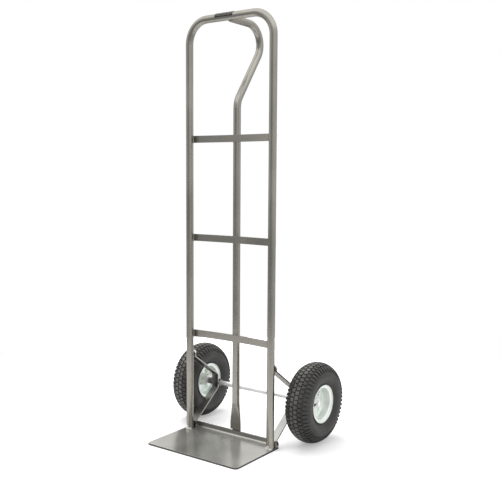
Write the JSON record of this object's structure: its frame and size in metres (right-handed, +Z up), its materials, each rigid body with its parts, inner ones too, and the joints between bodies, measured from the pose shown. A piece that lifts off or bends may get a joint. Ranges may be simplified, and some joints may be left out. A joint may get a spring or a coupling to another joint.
{
  "type": "sack truck",
  "caption": "Upright two-wheeled sack truck: tube frame with crossbars, P-shaped handle, folded toe plate and pneumatic wheels on an axle held by bent straps.",
  "frame": {"origin": "on the floor, below the middle of the bounding box", "axes": "+X across the truck, -Y to the toe plate's front edge, +Y to the wheels, +Z up"},
  "size_m": [0.54, 0.463, 1.3246],
  "materials": {
    "frame_paint": "metallic grey, satin gloss",
    "toe_plate_paint": "metallic grey, gloss",
    "strap_paint": "dark grey, satin",
    "bright_zinc": "bright zinc plate",
    "rim_zinc": "light zinc plate",
    "bearing_steel": "ground steel",
    "tyre_rubber": "matte",
    "tube_rubber": "matte",
    "grip_rubber": "matte, ribbed"
  },
  "bodies": {
    "frame": {"frame_loop": "frame_paint", "p_handle": "frame_paint", "lower_crossbar": "frame_paint", "middle_crossbar": "frame_paint", "upper_crossbar": "frame_paint", "hand_grip": "grip_rubber", "toe_plate": "toe_plate_paint", "left_axle_strap": "strap_paint", "right_axle_strap": "strap_paint", "left_axle_sleeve": "strap_paint", "right_axle_sleeve": "strap_paint", "axle": "bright_zinc", "foot_bolts": "bright_zinc", "foot_washers": "bright_zinc", "foot_nuts": "bright_zinc", "strap_bolts": "bright_zinc", "strap_washers": "bright_zinc", "inner_axle_washers": "bright_zinc", "outer_axle_washers": "bright_zinc", "split_pins": "bright_zinc"},
    "left_wheel": {"left_tyre": "tyre_rubber", "left_inner_tube": "tube_rubber", "left_outer_rim": "rim_zinc", "left_inner_rim": "rim_zinc", "left_hub": "rim_zinc", "left_bearings": "bearing_steel", "left_rim_bolts": "bright_zinc", "left_rim_nuts": "bright_zinc", "left_valve_stem": "tube_rubber"},
    "right_wheel": {"right_tyre": "tyre_rubber", "right_inner_tube": "tube_rubber", "right_outer_rim": "rim_zinc", "right_inner_rim": "rim_zinc", "right_hub": "rim_zinc", "right_bearings": "bearing_steel", "right_rim_bolts": "bright_zinc", "right_rim_nuts": "bright_zinc", "right_valve_stem": "tube_rubber"}
  },
  "joints": [
    {"name": "left_wheel_spin", "type": "hinge", "parent": "frame", "child": "left_wheel", "pos_m": [-0.228, 0.1045, 0.127], "axis": [1, 0, 0], "continuous": true},
    {"name": "right_wheel_spin", "type": "hinge", "parent": "frame", "child": "right_wheel", "pos_m": [0.228, 0.1045, 0.127], "axis": [1, 0, 0], "continuous": true}
  ]
}
